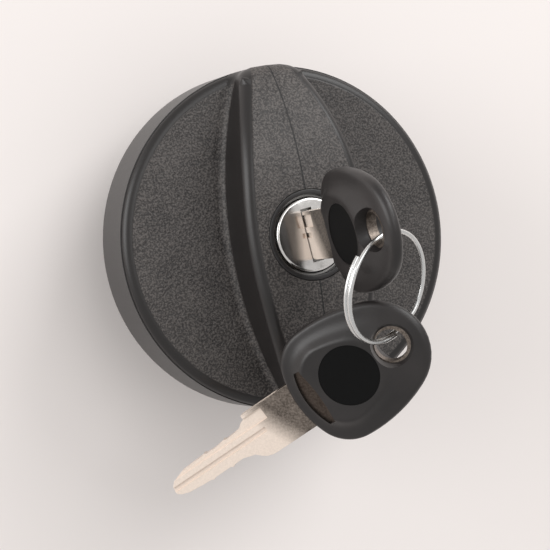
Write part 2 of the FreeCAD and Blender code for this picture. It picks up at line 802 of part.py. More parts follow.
def ring_placement():
    toward = ring_direction()
    side = Vector(1, 0, 0) - toward * toward.x
    side.normalize()
    roll = math.radians(ring_roll)
    across = side * math.cos(roll) + toward.cross(side) * math.sin(roll)
    centre = first_hole() + toward * (ring_seat_in_first + ring_mean_radius())
    back = toward * -1
    return Placement(centre, Rotation(back, across, back.cross(across), "XYZ"))


def spare_rotation():
    turn = Rotation(Vector(0, 0, 1), spare_heading)
    rise = Rotation(Vector(0, 1, 0), -spare_rise)
    roll = Rotation(Vector(1, 0, 0), spare_roll)
    return turn.multiply(rise).multiply(roll)


def spare_placement():
    rotation = spare_rotation()
    along = rotation.multVec(Vector(1, 0, 0))
    return Placement(second_hole() - along * ring_hole_u, rotation)


def split_ring():
    """One eight-sided wire: a full coil, with its two ends lapped side by side over a half turn."""
    half = ring_wire / 2
    offset = half - ring_coil_overlap / 2
    mean = ring_mean_radius()
    corner = half / math.cos(math.radians(22.5))
    angles = [math.radians(22.5 + 45.0 * i) for i in range(8)]
    coils = []
    for z, sweep in ((-offset, 360.0), (offset, ring_lap_angle)):
        section = [Vector(mean + corner * math.cos(a), 0, z + corner * math.sin(a)) for a in angles]
        outline = Part.Face(Part.makePolygon(section + section[:1]))
        coils.append(outline.revolve(Vector(0, 0, 0), Vector(0, 0, 1), sweep))
    return coils[0].fuse(turned(coils[1], ring_lap_start))


os.makedirs("parts", exist_ok=True)

blade = key_blade()
head = key_head(blade)
inlays = key_inlays()
bolt = latch_bolt()
key_one = key_one_placement()
spare = spare_placement()

nodes = {
    "cap_shell": cap_shell(),
    "bayonet_neck": bayonet_neck(),
    "neck_seal": neck_seal(),
    "neck_screws": neck_screws(),
    "base_cover": base_cover(),
    "vent_umbrella": vent_umbrella(),
    "guide_plate": guide_plate(),
    "lock_bezel": lock_bezel(),
    "lock_housing": lock_housing(),
    "housing_clip": housing_clip(),
    "lock_plug": lock_plug(),
    "lock_face": lock_face(),
    "lock_wafers": lock_wafers(),
    "lock_cam": lock_cam(),
    "cam_screw": cam_screw(),
    "latch_bolt_1": bolt,
    "latch_bolt_2": turned(bolt, 180),
    "key_1_blade": placed(blade, key_one),
    "key_1_head": placed(head, key_one),
    "key_1_inlays": placed(inlays, key_one),
    "split_ring": placed(split_ring(), ring_placement()),
    "key_2_blade": placed(blade, spare),
    "key_2_head": placed(head, spare),
    "key_2_inlays": placed(inlays, spare),
}

for name, shape in nodes.items():
    shape.exportStep("parts/" + name + ".step")
    print(name, "solids", len(shape.Solids), "valid", shape.isValid(), "volume", round(shape.Volume, 1))

for label, point in (("first hole", first_hole()), ("second hole", second_hole())):
    print(label, [round(c, 4) for c in point])
print("spare key axis", [round(c, 5) for c in spare_rotation().multVec(Vector(0, 0, 1))])
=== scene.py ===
import math

import bmesh
import bpy
from mathutils import Matrix, Vector


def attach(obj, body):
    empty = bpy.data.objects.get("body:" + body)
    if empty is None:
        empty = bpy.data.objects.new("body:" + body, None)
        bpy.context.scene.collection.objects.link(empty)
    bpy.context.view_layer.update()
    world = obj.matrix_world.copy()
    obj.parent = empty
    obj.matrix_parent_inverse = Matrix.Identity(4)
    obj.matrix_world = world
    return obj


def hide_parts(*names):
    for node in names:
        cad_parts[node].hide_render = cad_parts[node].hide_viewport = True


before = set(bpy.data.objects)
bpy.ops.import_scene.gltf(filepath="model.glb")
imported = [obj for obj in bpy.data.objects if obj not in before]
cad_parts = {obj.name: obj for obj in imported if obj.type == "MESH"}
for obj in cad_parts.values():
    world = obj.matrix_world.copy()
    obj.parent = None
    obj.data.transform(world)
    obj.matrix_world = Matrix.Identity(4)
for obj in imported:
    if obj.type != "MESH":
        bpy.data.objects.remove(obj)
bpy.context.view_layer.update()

# Camera: the photograph looks down on the cap's face from a little to its left,
# with a lens about 98 mm long on a full-size frame.
eye = Vector((-0.12547, 0.00712, 0.36174))
right = Vector((0.92328, -0.15943, 0.34943))
up = Vector((0.16467, 0.98622, 0.01486))
camera_data = bpy.data.cameras.new("camera")
camera_data.lens = 98.18
camera_data.sensor_width = 36.0
camera_data.clip_start = 0.01
camera = bpy.data.objects.new("camera", camera_data)
view_turn = Matrix((right, up, right.cross(up))).transposed().to_4x4()
camera.matrix_world = Matrix.Translation(eye) @ view_turn
bpy.context.collection.objects.link(camera)
bpy.context.scene.camera = camera
bpy.context.scene.view_settings.view_transform = "Standard"


class Shade:
    """A shader socket that takes part in sums; node() adds any other node."""

    def __init__(self, tree, socket=None):
        self.tree = tree
        self.socket = socket

    def node(self, kind, inputs=None, out=0, **settings):
        made = self.tree.nodes.new("ShaderNode" + kind)
        for name, value in settings.items():
            setattr(made, name, value)
        for name, value in (inputs or {}).items():
            if isinstance(value, Shade):
                self.tree.links.new(value.socket, made.inputs[name])
            else:
                made.inputs[name].default_value = value
        return Shade(self.tree, made.outputs[out])

    def math(self, operation, first, second=0.0, clamp=False):
        return self.node("Math", {0: first, 1: second}, operation=operation, use_clamp=clamp)

    def __add__(self, other):
        return self.math("ADD", self, other)

    def __radd__(self, other):
        return self.math("ADD", other, self)

    def __sub__(self, other):
        return self.math("SUBTRACT", self, other)

    def __rsub__(self, other):
        return self.math("SUBTRACT", other, self)

    def __mul__(self, other):
        return self.math("MULTIPLY", self, other)

    def __rmul__(self, other):
        return self.math("MULTIPLY", other, self)

    def ramped(self, low, high):
        """0 below low, 1 above high, and even between."""
        return self.math("MULTIPLY", self - low, 1.0 / (high - low), clamp=True)

    def split(self, axis):
        return self.node("SeparateXYZ", {0: self}, out=axis)

    def mixed(self, first, second):
        """A colour between two, by this value."""
        return self.node("Mix", {0: self, 6: first, 7: second}, out=2, data_type="RGBA")


def new_finish(name, **sockets):
    """A material, its shader and the place on the piece, as Object coordinates."""
    finish = bpy.data.materials.new(name)
    finish.use_nodes = True
    shader = finish.node_tree.nodes["Principled BSDF"]
    for socket, value in sockets.items():
        shader.inputs[socket.replace("_", " ")].default_value = value
    start = Shade(finish.node_tree)
    return finish, start, start.node("TexCoord", out=3)


def feed(shade, finish, socket):
    finish.node_tree.links.new(shade.socket, finish.node_tree.nodes["Principled BSDF"].inputs[socket])


# Floor: a seamless pale sheet, which keeps the cap's soft shadow and shows as the pale
# ground to the camera and in the metal.
floor_reach = 3.0
floor_drop = 0.0002
bm = bmesh.new()
bmesh.ops.create_grid(bm, x_segments=2, y_segments=2, size=floor_reach)
bmesh.ops.translate(bm, verts=bm.verts, vec=(0, 0, -floor_drop))
mesh = bpy.data.meshes.new("floor")
bm.to_mesh(mesh)
bm.free()
floor = bpy.data.objects.new("floor", mesh)
bpy.context.collection.objects.link(floor)
paper = new_finish("pale_paper", Roughness=0.9, Specular_IOR_Level=0.1)[0]
shader = paper.node_tree.nodes["Principled BSDF"]
shader.inputs["Base Color"].default_value = (0.80, 0.755, 0.735, 1.0)
floor.data.materials.append(paper)

# Light: a soft box behind on the right, one low on the left for the skirt, one overhead,
# and a pale room all round. Each box has its place, its aim, its size and its watts.
soft_boxes = (
    ("key_box", (0.50, 0.55, 0.55), (0.0, 0.0, 0.03), 0.5, 0.6, 4.2),
    ("left_box", (-0.75, 0.25, 0.25), (0.0, 0.0, 0.02), 0.5, 0.7, 4.2),
    ("top_box", (0.10, 0.25, 1.0), (0.0, 0.0, 0.0), 0.5, 0.5, 1.6),
)
for name, spot, aim, width, height, power in soft_boxes:
    lamp = bpy.data.lights.new(name, "AREA")
    lamp.shape = "RECTANGLE"
    lamp.size = width
    lamp.size_y = height
    lamp.energy = power
    holder = bpy.data.objects.new(name, lamp)
    holder.location = spot
    holder.rotation_euler = (Vector(aim) - Vector(spot)).to_track_quat("-Z", "Y").to_euler()
    bpy.context.collection.objects.link(holder)
room = bpy.data.worlds.new("room")
room.use_nodes = True
sky = room.node_tree.nodes["Background"]
sky.inputs["Color"].default_value = (1.0, 0.985, 0.975, 1.0)
sky.inputs["Strength"].default_value = 0.62
bpy.context.scene.world = room


# Cap moulding: skirt, top face and grip bar are one injection moulding in black plastic.
# The flat faces come grained from the mould and the rounded edges are polished.
mm = 0.001
rim_radius = 40.0
rim_height = 35.0
face_height = 36.6
face_radius = 37.6
grip_top = 51.0
grip_side_radius = 100.0
grip_half_width = 14.8
grip_flat = 9.5
grip_arch_radius = 50.0
grip_edge = 2.4
grip_corner = 2.2
grip_foot = 1.6
grip_row = 1.5
grip_end_row = 39.3
skirt_bottom = 20.0
skirt_bore = 37.3
skirt_flare = 0.4
skirt_round = 0.6
bore_bevel = 0.3
rim_ledge = 0.25
web_bottom = 33.6
lock_hole = 10.35


def into_scene(bm, name, body, finish, smooth=35.0, weighted=True):
    """Closes off a mesh drawn in millimetres: true normals, smooth curves, sharp corners."""
    bmesh.ops.remove_doubles(bm, verts=bm.verts, dist=1e-4)
    bmesh.ops.recalc_face_normals(bm, faces=bm.faces)
    bmesh.ops.scale(bm, verts=bm.verts, vec=(mm, mm, mm))
    for face in bm.faces:
        face.smooth = True
    for edge in bm.edges:
        if len(edge.link_faces) == 2:
            edge.smooth = edge.calc_face_angle(0.0) < math.radians(smooth)
    mesh = bpy.data.meshes.new(name)
    bm.to_mesh(mesh)
    bm.free()
    mesh.materials.append(finish)
    piece = bpy.data.objects.new(name, mesh)
    bpy.context.collection.objects.link(piece)
    if weighted:
        tidy = piece.modifiers.new("weighted", "WEIGHTED_NORMAL")
        tidy.keep_sharp = True
        tidy.weight = 90
    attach(piece, body)
    return piece


def spun(profile, steps, closed=True):
    """A ring or disc turned from its section, given as (radius, height) corners."""
    bm = bmesh.new()
    corners = [bm.verts.new((r, 0.0, z)) for r, z in profile]
    pairs = list(zip(corners, corners[1:]))
    if closed:
        pairs.append((corners[-1], corners[0]))
    edges = [bm.edges.new(pair) for pair in pairs]
    bmesh.ops.spin(bm, geom=corners + edges, cent=(0, 0, 0), axis=(0, 0, 1), angle=2 * math.pi,
                   steps=steps, use_merge=True)
    bmesh.ops.remove_doubles(bm, verts=bm.verts, dist=1e-5)
    return bm


def carved(piece, cutters):
    """Cuts the tools' shapes out of a piece and throws the tools away."""
    for cutter in cutters:
        bmesh.ops.recalc_face_normals(cutter, faces=cutter.faces)
        mesh = bpy.data.meshes.new("tool")
        cutter.to_mesh(mesh)
        cutter.free()
        tool = bpy.data.objects.new("tool", mesh)
        bpy.context.collection.objects.link(tool)
        cut = piece.modifiers.new("cut", "BOOLEAN")
        cut.operation = "DIFFERENCE"
        cut.solver = "EXACT"
        cut.object = tool
        order = piece.modifiers.find("cut")
        piece.modifiers.move(order, 0)
        with bpy.context.temp_override(object=piece, active_object=piece):
            bpy.ops.object.modifier_apply(modifier="cut")
        bpy.data.objects.remove(tool)


def quarter(centre_r, centre_z, radius, start, stop, count):
    """Points along a round of a section, between two angles in degrees."""
    angles = [math.radians(start + (stop - start) * i / count) for i in range(count + 1)]
    return [(centre_r + radius * math.cos(a), centre_z + radius * math.sin(a)) for a in angles]


def arch_drop(y):
    """How far the grip's top lies below its flat middle."""
    beyond = max(abs(y) - grip_flat, 0.0)
    return grip_arch_radius - math.sqrt(grip_arch_radius ** 2 - beyond ** 2)


def face_surface(radius):
    """Height of the top face: flat, then rolling over to the ledge at the rim."""
    share = min(max((radius - face_radius) / (rim_radius - rim_ledge - face_radius), 0.0), 1.0)
    return rim_height + (face_height - rim_height) * math.sqrt(1.0 - share ** 2)


def lens_half_width(y):
    return grip_half_width - grip_side_radius + math.sqrt(grip_side_radius ** 2 - y ** 2)


shoulder = [(face_radius + (rim_radius - rim_ledge - face_radius) * math.sin(a),
             rim_height + (face_height - rim_height) * math.cos(a))
            for a in [math.radians(90 * i / 10) for i in range(11)]]
inner_radius = 12.0
straight = rim_height - skirt_bottom - skirt_round
foot_radius = rim_radius + skirt_flare - skirt_round
skirt = [(inner_radius, web_bottom), (inner_radius, face_height)] + shoulder + [(rim_radius, rim_height)]
skirt += [(rim_radius + skirt_flare * i / 6, rim_height - straight * i / 6) for i in range(1, 6)]
skirt += quarter(foot_radius, skirt_bottom + skirt_round, skirt_round, 0, -90, 5)
skirt += [(skirt_bore + bore_bevel, skirt_bottom), (skirt_bore, skirt_bottom + bore_bevel)]
skirt += [(skirt_bore, web_bottom)]
moulding = spun(skirt, 240)

grip = bmesh.new()
rows = [grip_row * i for i in range(-26, 27)]
corners = [(lens_half_width(y), y) for y in rows]
end = corners[-1][0]
corners += [(end * math.cos(math.radians(a)), grip_end_row) for a in (60, 90, 120)]
corners += [(-x, -y) for x, y in corners]
grip_reach = rim_radius - 0.01
grip_base = face_height - 1.0
outline = []
for x, y in corners:
    if abs(y) > rows[-1]:
        y = math.copysign(math.sqrt(grip_reach ** 2 - x * x), y)
    outline.append(grip.verts.new((x, y, grip_base)))
floor_face = grip.faces.new(outline)
raised = bmesh.ops.extrude_face_region(grip, geom=[floor_face])["geom"]
lid = [v for v in raised if isinstance(v, bmesh.types.BMVert)]
bmesh.ops.translate(grip, verts=lid, vec=(0, 0, grip_top - grip_base))
grip.normal_update()
uprights = [e for e in grip.edges if abs(e.verts[0].co.z - e.verts[1].co.z) > 5
            and len(e.link_faces) == 2 and e.calc_face_angle(0.0) > math.radians(35)]
bmesh.ops.bevel(grip, geom=uprights, offset=grip_corner, offset_type="OFFSET", affect="EDGES",
                segments=6, profile=0.5, material=-1)
grip.normal_update()
top_edges = [e for e in grip.edges if min(e.verts[0].co.z, e.verts[1].co.z) > grip_top - 0.01
             and any(abs(f.normal.z) < 0.5 for f in e.link_faces)]
bmesh.ops.bevel(grip, geom=top_edges, offset=grip_edge, offset_type="OFFSET", affect="EDGES",
                segments=8, profile=0.5, material=-1)
for y in [grip_row * (i + 0.5) for i in range(-26, 26)] + rows[1:-1]:
    bmesh.ops.bisect_plane(grip, geom=grip.verts[:] + grip.edges[:] + grip.faces[:], dist=1e-5,
                           plane_co=(0, y, 0), plane_no=(0, 1, 0))
low_faces = [f for f in grip.faces if f.normal.z < -0.9]
bmesh.ops.delete(grip, geom=low_faces, context="FACES_ONLY")
for vert in grip.verts:
    if vert.co.z > face_height:
        vert.co.z -= arch_drop(vert.co.y)
foot = [e for e in grip.edges if len(e.link_faces) == 1]
for vert in set(v for e in foot for v in e.verts):
    vert.co.z = face_surface(vert.co.xy.length) + grip_foot
# The foot spreads over the face in a quarter round and then dips below it
steps = 5
foot_dip = 1.2
for i in range(1, steps + 2):
    angle = math.radians(90.0 * min(i, steps) / steps)
    out_step = grip_foot * (1 - math.cos(angle))
    height = grip_foot * (1 - math.sin(angle)) - (foot_dip if i > steps else 0.0)
    spread = bmesh.ops.extrude_edge_only(grip, edges=foot)["geom"]
    ring = [g for g in spread if isinstance(g, bmesh.types.BMVert)]
    before = grip_foot * (1 - math.cos(math.radians(90.0 * (i - 1) / steps)))
    foot = [g for g in spread if isinstance(g, bmesh.types.BMEdge)]
    for vert in ring:
        side = math.copysign(grip_side_radius - grip_half_width, vert.co.x)
        away = Vector((vert.co.x + side, vert.co.y, 0.0)).normalized()
        if i <= steps:
            vert.co += away * (out_step - before)
        reach = vert.co.xy.length
        if reach > grip_reach:
            vert.co.xy *= grip_reach / reach
        vert.co.z = face_surface(vert.co.xy.length) + height
mesh = bpy.data.meshes.new("grip")
grip.to_mesh(mesh)
grip.free()
moulding.from_mesh(mesh)

grained, start, place = new_finish("grained_black_plastic", Specular_IOR_Level=0.45)
x = place.split(0)
y = place.split(1)
z = place.split(2)
side_centre = (grip_side_radius - grip_half_width) * mm
to_right = start.node("VectorMath", {0: place, 1: (side_centre, 0, 0)}, operation="ADD")
to_left = start.node("VectorMath", {0: place, 1: (-side_centre, 0, 0)}, operation="ADD")
far_side = []
for toward in (to_right, to_left):
    flat = start.node("CombineXYZ", {0: toward.split(0), 1: y, 2: 0.0})
    far_side.append(start.node("VectorMath", {0: flat}, out=1, operation="LENGTH"))
# The grain lies on the grip's top, inside its rounded edge, and on the flat of the face
widest = start.math("MAXIMUM", far_side[0], far_side[1])
on_grip = z.ramped(37.2 * mm, 38.2 * mm) * (1.0 - widest.ramped(100.3 * mm, 100.6 * mm))
grip_field = 1.0 - widest.ramped(97.5 * mm, 97.9 * mm)
flat = start.node("CombineXYZ", {0: x, 1: y, 2: 0.0})
from_axis = start.node("VectorMath", {0: flat}, out=1, operation="LENGTH")
plate_field = z.ramped(36.45 * mm, 36.55 * mm) * (1.0 - from_axis.ramped(37.4 * mm, 37.7 * mm))
grain_field = on_grip * grip_field + (1.0 - on_grip) * plate_field
fine = start.node("TexNoise", {"Vector": place, "Scale": 2300.0, "Detail": 2.0, "Roughness": 0.6})
pebble = start.node("TexVoronoi", {"Vector": place, "Scale": 1500.0, "Smoothness": 1.0},
                    feature="SMOOTH_F1")
blotch = start.node("TexNoise", {"Vector": place, "Scale": 160.0, "Detail": 4.0, "Roughness": 0.55})
grain = fine * 0.8 + pebble * 0.9
# A fine dark line runs along the grip's middle
groove = (1.0 - start.math("ABSOLUTE", x).ramped(0.10 * mm, 0.18 * mm)) * on_grip
relief = grain * grain_field - groove * 4.0
bump = start.node("Bump", {"Height": relief, "Strength": 0.8, "Distance": 0.00016})
feed(bump, grained, "Normal")
speck = fine.ramped(0.44, 0.60) * 0.75 + blotch.ramped(0.3, 0.7) * 0.25
smooth_black = (0.014, 0.0122, 0.0118, 1)
grained_black = (0.100, 0.089, 0.083, 1)
colour = (speck * grain_field).mixed(smooth_black, grained_black)
colour = groove.mixed(colour, (0.006, 0.006, 0.006, 1))
feed(colour, grained, "Base Color")
rough = 0.32 + grain_field * 0.16 + fine * 0.08
feed(rough, grained, "Roughness")

cap = into_scene(moulding, "cap_moulding", "cap", grained, smooth=38.0)
bore = bmesh.new()
bmesh.ops.create_cone(bore, cap_ends=True, segments=128, radius1=lock_hole, radius2=lock_hole,
                      depth=10.0)
bmesh.ops.translate(bore, verts=bore.verts, vec=(0, 0, grip_top))
bmesh.ops.scale(bore, verts=bore.verts, vec=(mm, mm, mm))
carved(cap, [bore])
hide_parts("cap_shell")


# Lock bezel: a satin black plastic ring, pressed in flush with the grip round the barrel.
collar, start, place = new_finish("satin_black_collar", Specular_IOR_Level=0.5)
fine = start.node("TexNoise", {"Vector": place, "Scale": 1400.0, "Detail": 3.0})
feed(fine.mixed((0.010, 0.009, 0.009, 1), (0.020, 0.018, 0.018, 1)), collar, "Base Color")
feed(0.28 + fine * 0.12, collar, "Roughness")

bezel_bore = 9.1
bezel_radius = 10.25
bezel_bottom = 49.0
bezel_top = 51.0
inner_round = 0.25
outer_round = 0.2
bezel_section = [(bezel_bore, bezel_bottom), (bezel_bore, bezel_top - inner_round)]
bezel_section += quarter(bezel_bore + inner_round, bezel_top - inner_round, inner_round, 180, 90, 4)
bezel_section += quarter(bezel_radius - outer_round, bezel_top - outer_round, outer_round, 90, 0, 4)
bezel_section += [(bezel_radius, bezel_bottom)]
bezel = into_scene(spun(bezel_section, 160), "bezel_ring", "cap", collar)
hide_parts("lock_bezel")


# Lock face: the bright cap of the barrel, pressed from chromed sheet with a rounded edge
# and a key slot, and crimped on the plug that turns with the key.
polished, start, place = new_finish("polished_chrome", Metallic=1.0)
polished.node_tree.nodes["Principled BSDF"].inputs["Base Color"].default_value = (0.80, 0.78, 0.76, 1)
wear = start.node("TexNoise", {"Vector": place, "Scale": 900.0, "Detail": 3.0, "Roughness": 0.6})
feed(0.12 + wear.ramped(0.4, 0.8) * 0.10, polished, "Roughness")

key_turn = math.radians(5.5)
plate_radius = 8.55
plate_bottom = 50.0
plate_top = 50.7
plate_round = 0.8
face_section = [(0.0, plate_bottom), (0.0, plate_top)]
face_section += quarter(plate_radius - plate_round, plate_top - plate_round, plate_round, 90, 0, 8)
face_section += [(plate_radius, plate_bottom)]
face_plate = into_scene(spun(face_section, 160, closed=False), "lock_face_plate", "plug", polished)
slot_size = (2.7 * mm, 12.2 * mm, 3.0 * mm)
slot_height = 50.5 * mm
slot = bmesh.new()
bmesh.ops.create_cube(slot, size=1.0)
bmesh.ops.scale(slot, verts=slot.verts, vec=slot_size)
bmesh.ops.rotate(slot, verts=slot.verts, cent=(0, 0, 0), matrix=Matrix.Rotation(key_turn, 3, "Z"))
bmesh.ops.translate(slot, verts=slot.verts, vec=(0, 0, slot_height))
carved(face_plate, [slot])
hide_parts("lock_face")


# Key heads: black plastic moulded over the key's metal, with a thin flange, a raised
# crown round a sunk badge, a window in front of it and the ring's hole behind it.
head_outer = (10.0, 4.6, 8.8, 21.3, 11.4, 22.0, 34.0)
head_crown = (11.2, 2.4, 6.0, 15.0, 7.2, 14.0, 24.0)
head_section = ((0.0, 0.0), (0.0, 0.35), (0.02, 0.75), (0.05, 1.10), (0.09, 1.34), (0.15, 1.47),
                (0.24, 1.54), (0.36, 1.64), (0.48, 1.82), (0.60, 2.12), (0.70, 2.50), (0.79, 2.92),
                (0.87, 3.30), (0.94, 3.57), (1.0, 3.68), (1.06, 3.70))
badge_place = 14.6
badge_seat = 6.55
badge_floor = 3.3
hole_place = 25.0
head_hole = 3.6
mouth_foot = 0.6
mouth_top = 4.3
mouth_flare = 2.66
tool_reach = 4.5
through = 5.0
window_near = 4.35
window_near_bulge = 1.45
window_far = 6.0
window_far_bulge = 0.6
window_half = 6.6


def egg_outline(sizes):
    """Points round an outline of three corner arcs joined by three long arcs tangent to them."""
    corner_u, corner_v, corner_r, end_u, end_r, blade_r, side_r = sizes
    near, far, other = Vector((corner_u, -corner_v)), Vector((end_u, 0)), Vector((corner_u, corner_v))
    sides = ((near, corner_r, far, end_r, side_r), (far, end_r, other, corner_r, side_r),
             (other, corner_r, near, corner_r, blade_r))
    arcs = []
    for a, ra, b, rb, big in sides:
        span = (b - a).length
        e = (b - a) / span
        along = ((big - ra) ** 2 - (big - rb) ** 2 + span ** 2) / (2 * span)
        across = math.sqrt(max((big - ra) ** 2 - along ** 2, 0.0))
        centre = a + e * along + Vector((-e.y, e.x)) * across
        arcs.append((centre, big, a - centre, b - centre, b, rb))
    points = []
    for i, (centre, big, first, last, corner, small) in enumerate(arcs):
        turn = first.angle_signed(last) * -1
        for k in range(24):
            a = math.atan2(first.y, first.x) + turn * k / 24
            points.append((centre.x + big * math.cos(a), centre.y + big * math.sin(a)))
        following = arcs[(i + 1) % 3][2]
        turn = last.angle_signed(following) * -1
        for k in range(16):
            a = math.atan2(last.y, last.x) + turn * k / 16
            points.append((corner.x + small * math.cos(a), corner.y + small * math.sin(a)))
    return points


def blended(share):
    return [a + (b - a) * share for a, b in zip(head_outer, head_crown)]


def key_frame(origin, along, across):
    """The key's own frame: u along it, v across it, w through it, as a placing matrix."""
    turn = Matrix((along, across, along.cross(across))).transposed().to_4x4()
    return Matrix.Translation(Vector(origin) * mm) @ turn


def spare_axes():
    turn = Matrix.Rotation(math.radians(31.7), 3, "Z")
    rise = Matrix.Rotation(math.radians(-34.1), 3, "Y")
    roll = Matrix.Rotation(math.radians(-9.7), 3, "X")
    pose = turn @ rise @ roll
    return pose.col[0].copy(), pose.col[1].copy()


first_hole = Vector((0, 0, 87.0))
second_hole = Vector((3.2919, -24.6717, 76.5371))
first_along = Vector((0, 0, 1))
first_across = Vector((-math.sin(key_turn), math.cos(key_turn), 0))
spare_along, spare_across = spare_axes()
key_frames = (("key_1", key_frame(first_hole - first_along * hole_place, first_along, first_across)),
              ("key_2", key_frame(second_hole - spare_along * hole_place, spare_along, spare_across)))

moulded, start, place = new_finish("key_head_plastic", Specular_IOR_Level=0.5)
fine = start.node("TexNoise", {"Vector": place, "Scale": 1500.0, "Detail": 3.0, "Roughness": 0.6})
broad = start.node("TexNoise", {"Vector": place, "Scale": 90.0, "Detail": 3.0, "Roughness": 0.5})
bump = start.node("Bump", {"Height": fine, "Strength": 0.25, "Distance": 0.00006})
feed(bump, moulded, "Normal")
tone = broad.ramped(0.3, 0.7).mixed((0.010, 0.0085, 0.0082, 1), (0.019, 0.016, 0.0155, 1))
feed(tone, moulded, "Base Color")
feed(0.30 + fine * 0.10 + broad * 0.10, moulded, "Roughness")


def head_mesh():
    bm = bmesh.new()
    ring = [bm.verts.new((u, v, 0.0)) for u, v in egg_outline(blended(0.0))]
    edges = [bm.edges.new((a, b)) for a, b in zip(ring, ring[1:] + ring[:1])]
    for share, height in head_section[1:]:
        spread = bmesh.ops.extrude_edge_only(bm, edges=edges)["geom"]
        edges = [g for g in spread if isinstance(g, bmesh.types.BMEdge)]
        bm.verts.ensure_lookup_table()
        ring = [bm.verts[len(bm.verts) - len(ring) + i] for i in range(len(ring))]
        for vert, (u, v) in zip(ring, egg_outline(blended(share))):
            vert.co = (u, v, height)
    bmesh.ops.contextual_create(bm, geom=edges)
    bmesh.ops.mirror(bm, geom=bm.verts[:] + bm.edges[:] + bm.faces[:], axis="Z", merge_dist=1e-4)
    return bm


def round_tool(u, radius, low, high, grow=0.0):
    """A round cutter through the head; grow widens and shifts its top for a flared mouth."""
    bm = bmesh.new()
    bmesh.ops.create_cone(bm, cap_ends=True, segments=96, radius1=radius, radius2=radius + grow,
                          depth=abs(high - low))
    bmesh.ops.translate(bm, verts=bm.verts, vec=(u, 0, abs(high - low) / 2))
    for vert in bm.verts:
        if vert.co.z > 1e-3:
            vert.co.x += grow
        vert.co.z = low + vert.co.z * (1 if high > low else -1)
    bmesh.ops.scale(bm, verts=bm.verts, vec=(mm, mm, mm))
    return bm


def raised_plate(bm, outline, foot, rise):
    """A flat plate drawn upright from its outline."""
    corners = [bm.verts.new((u, v, foot)) for u, v in outline]
    drawn = bmesh.ops.extrude_face_region(bm, geom=[bm.faces.new(corners)])["geom"]
    lid = [g for g in drawn if isinstance(g, bmesh.types.BMVert)]
    bmesh.ops.translate(bm, verts=lid, vec=(0, 0, rise))


def window_edge(v):
    """The window's edge on the blade's side, which bulges towards the blade."""
    return window_near - window_near_bulge * (1 - (v / window_half) ** 2)


def window_tool():
    bm = bmesh.new()
    rows = [window_half * (i / 12 - 1) for i in range(25)]
    near = [(window_edge(v), v) for v in rows]
    far = [(window_far + window_far_bulge * (1 - (v / window_half) ** 2), v) for v in reversed(rows)]
    raised_plate(bm, near + far, -tool_reach, 2 * tool_reach)
    bmesh.ops.scale(bm, verts=bm.verts, vec=(mm, mm, mm))
    return bm


for name, frame_of_key in key_frames:
    head = into_scene(head_mesh(), name + "_grip", name, moulded, smooth=32.0)
    tools = [round_tool(hole_place, head_hole, -through, through), window_tool()]
    tools += [round_tool(hole_place, head_hole, side * mouth_foot, side * mouth_top, mouth_flare)
              for side in (-1, 1)]
    tools += [round_tool(badge_place, badge_seat, side * badge_floor, side * tool_reach)
              for side in (-1, 1)]
    carved(head, tools)
    head.data.transform(frame_of_key)
    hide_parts(name + "_head")


# Key metal: one nickel-plated brass blank in each head, with a milled groove pair on each
# side, shallow cuts along both edges, and two curved ribs that show in the head's window.
metal_half = 1.1
shank_half = 5.5
upper_edge = ((-34.6, -0.3), (-34.3, 0.7), (-33.2, 1.8), (-30.3, 2.65), (-26.0, 2.85), (-24.3, 2.9),
              (-23.8, 3.15), (-23.2, 2.8), (-21.0, 2.75), (-18.7, 3.0), (-18.2, 3.25), (-17.6, 2.95),
              (-14.9, 3.1), (-13.6, 3.3), (-12.6, 4.1), (-11.5, 4.5), (-11.4, shank_half))
lower_edge = ((-34.2, -1.1), (-33.4, -1.6), (-31.6, -2.15), (-27.9, -2.45), (-25.7, -2.55),
              (-25.2, -2.85), (-24.6, -2.6), (-20.3, -2.55), (-19.7, -2.9), (-19.1, -2.6),
              (-16.8, -2.5), (-15.3, -2.95), (-13.9, -3.3), (-12.9, -4.3), (-11.9, -5.0),
              (-10.6, -5.4), (-9.4, -shank_half))
eyelet_half = 5.2
eyelet_hole = 3.45
wide_groove = (3.3, 2.8, -6.6)
narrow_groove = (0.1, 1.1, -8.4)
tang_edge = ((3.0, shank_half), (3.0, 7.2), (9.0, 7.2), (20.0, eyelet_half), (hole_place, eyelet_half))
edge_break = 0.10
rib_bands = ((0.08, 0.85), (1.15, 1.92))
rib_foot = 0.8
rib_rise = 1.5


def metal_mesh():
    bm = bmesh.new()
    bows = [math.radians(a) for a in range(75, -90, -15)]
    loop = list(upper_edge + tang_edge)
    loop += [(hole_place + eyelet_half * math.cos(a), eyelet_half * math.sin(a)) for a in bows]
    loop += [(u, -v) for u, v in reversed(tang_edge)] + list(reversed(lower_edge))
    raised_plate(bm, loop, -metal_half, 2 * metal_half)
    flat = [e for e in bm.edges if abs(e.verts[0].co.z - e.verts[1].co.z) < 1e-6]
    bmesh.ops.bevel(bm, geom=flat, offset=edge_break, offset_type="OFFSET", affect="EDGES", segments=2,
                    profile=0.5, material=-1)
    rows = [(window_half - 0.4) * (i / 12 - 1) for i in range(25)]
    for near, far in rib_bands:
        outline = [(window_edge(v) + near, v) for v in rows]
        outline += [(window_edge(v) + far, v) for v in reversed(rows)]
        for side in (-1, 1):
            raised_plate(bm, outline, side * rib_foot, side * rib_rise)
    return bm


def groove_tool(side, offset, width, end):
    """A bar that mills one groove, of a given place and width, from beyond the tip to its end."""
    start_u = -40.0
    height = side * (metal_half + 0.05)
    bm = bmesh.new()
    bmesh.ops.create_cube(bm, size=1.0)
    bmesh.ops.scale(bm, verts=bm.verts, vec=(end - start_u, width, 1.0))
    bmesh.ops.translate(bm, verts=bm.verts, vec=((end + start_u) / 2, side * offset, height))
    bmesh.ops.scale(bm, verts=bm.verts, vec=(mm, mm, mm))
    return bm


